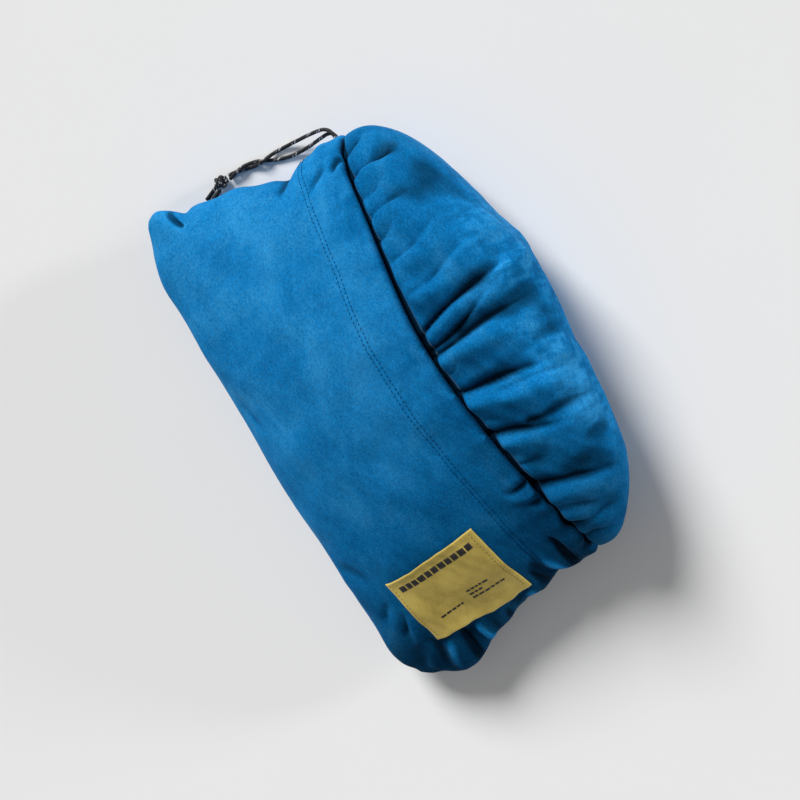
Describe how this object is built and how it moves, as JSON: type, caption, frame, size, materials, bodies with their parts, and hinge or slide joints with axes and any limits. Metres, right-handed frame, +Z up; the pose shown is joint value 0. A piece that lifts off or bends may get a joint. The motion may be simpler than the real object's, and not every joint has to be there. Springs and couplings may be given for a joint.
{
  "type": "camp pillow",
  "caption": "Soft suede camp pillow held in a drawcord sleeve, its gathered front bulging from the mouth, with a label patch and a knotted cord.",
  "frame": {"origin": "under the middle of the pillow and sleeve, on the surface they lie on", "axes": "+X along the pillow towards the label, +Y out of the sleeve's mouth, +Z up"},
  "size_m": [0.4235, 0.2755, 0.1115],
  "materials": {
    "suede": "matte",
    "lining": "matte",
    "wadding": "matte",
    "thread": "matte",
    "label": "satin",
    "cord": "matte"
  },
  "bodies": {
    "sleeve": {"sleeve_front_panel": "suede", "sleeve_back_panel": "suede", "side_seam_left": "suede", "side_seam_right": "suede", "end_seam": "suede", "hem_stitch_front_1": "thread", "hem_stitch_front_2": "thread", "hem_stitch_back_1": "thread", "hem_stitch_back_2": "thread", "label": "label", "label_stitch_lower": "thread", "label_stitch_upper": "thread", "drawcord_in_hem": "cord", "cord_strand_a": "cord", "cord_strand_b": "cord", "cord_knot": "cord", "cord_tail_a": "cord", "cord_tail_b": "cord"},
    "pillow": {"pillow_cover_top": "suede", "pillow_cover_bottom": "suede", "inner_bag_top": "lining", "inner_bag_bottom": "lining", "pillow_fill": "wadding"}
  },
  "joints": [
    {"name": "pillow_slide", "type": "slide", "parent": "sleeve", "child": "pillow", "axis": [0, 1, 0], "range_m": [0, 0.24]}
  ]
}
